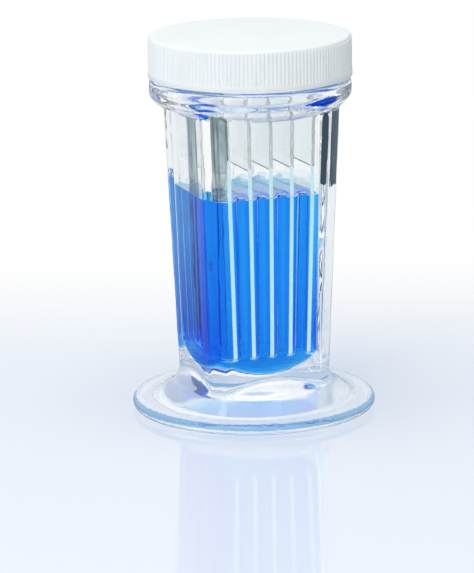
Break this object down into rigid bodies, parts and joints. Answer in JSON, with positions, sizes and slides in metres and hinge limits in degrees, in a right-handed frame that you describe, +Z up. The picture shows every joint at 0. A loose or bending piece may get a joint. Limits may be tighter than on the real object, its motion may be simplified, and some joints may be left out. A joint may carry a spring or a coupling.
{
  "type": "slide staining jar",
  "caption": "Glass jar on a round foot with a square ribbed chamber that holds microscope slides in stain, closed by a white screw cap.",
  "frame": {"origin": "middle of the ring that the foot stands on, at the bottom", "axes": "+Z up along the jar's axis; the two ribbed walls of the chamber face -Y and +Y"},
  "size_m": [0.062, 0.062, 0.096],
  "materials": {
    "jar_glass": "clear pressed soda-lime glass, fire polished outside",
    "cap_plastic": "white moulded polypropylene with a fine knurl",
    "liner_foam": "soft white foam sheet",
    "blue_stain": "clear bright blue liquid",
    "slide_glass": "clear thin glass with a frosted upper end"
  },
  "bodies": {
    "jar_body": {"jar": "jar_glass", "stain": "blue_stain", "slide_1": "slide_glass", "slide_2": "slide_glass", "slide_3": "slide_glass", "slide_4": "slide_glass", "slide_5": "slide_glass"},
    "liner": {"cap_liner": "liner_foam"},
    "cap": {"screw_cap": "cap_plastic"}
  },
  "joints": [
    {"name": "cap_rise", "type": "slide", "parent": "jar_body", "child": "liner", "axis": [0, 0, 1], "range_m": [0, 0.0086]},
    {"name": "cap_turn", "type": "hinge", "parent": "liner", "child": "cap", "pos_m": [0, 0, 0.09], "axis": [0, 0, 1], "range_deg": [0, 720]}
  ],
  "couplings": [
    {"joint": "cap_rise", "follows": "cap_turn", "m_per_rad": 0.00067322}
  ]
}
